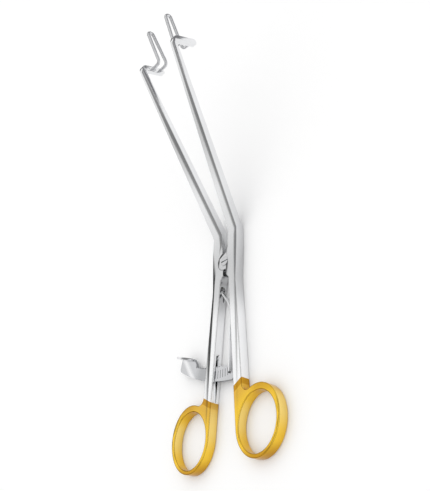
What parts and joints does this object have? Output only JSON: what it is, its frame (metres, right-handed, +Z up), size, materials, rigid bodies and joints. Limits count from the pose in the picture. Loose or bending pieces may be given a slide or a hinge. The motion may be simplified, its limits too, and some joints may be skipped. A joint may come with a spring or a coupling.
{
  "type": "endocervical forceps",
  "caption": "Spreading forceps with gilt finger rings, angled jaws ending in wire loops, leaf spring and curved ratchet bar.",
  "frame": {"origin": "hinge axis at the resting plane under the shanks", "axes": "+Y along the instrument from the rings to the jaws, +X to the arm that carries the ratchet's pin, +Z up out of the resting plane"},
  "size_m": [0.0726, 0.2334, 0.058],
  "materials": {
    "gilt_ring_steel": "satin stainless steel, the finger rings plated in gold",
    "wire_steel": "plain drawn stainless wire",
    "screw_steel": "satin stainless steel",
    "ratchet_steel": "satin stainless steel with fine grain",
    "spring_steel": "satin spring steel"
  },
  "bodies": {
    "left_arm": {"left_arm": "gilt_ring_steel", "left_wire_loop": "wire_steel", "hinge_screw": "screw_steel"},
    "right_arm": {"right_arm": "gilt_ring_steel", "right_wire_loop": "wire_steel", "ratchet_pin": "screw_steel", "leaf_spring": "spring_steel"},
    "ratchet": {"ratchet_bar": "ratchet_steel"}
  },
  "joints": [
    {"name": "main_hinge", "type": "hinge", "parent": "left_arm", "child": "right_arm", "pos_m": [0, 0, 0], "axis": [0, 0, 1], "range_deg": [-9.5, 6.3], "deforming": ["leaf_spring"]},
    {"name": "ratchet_release", "type": "hinge", "parent": "right_arm", "child": "ratchet", "pos_m": [0.00931, -0.0562, 0], "axis": [0, 0, 1], "range_deg": [0, 7], "stiffness_Nm_per_rad": 0.01}
  ]
}
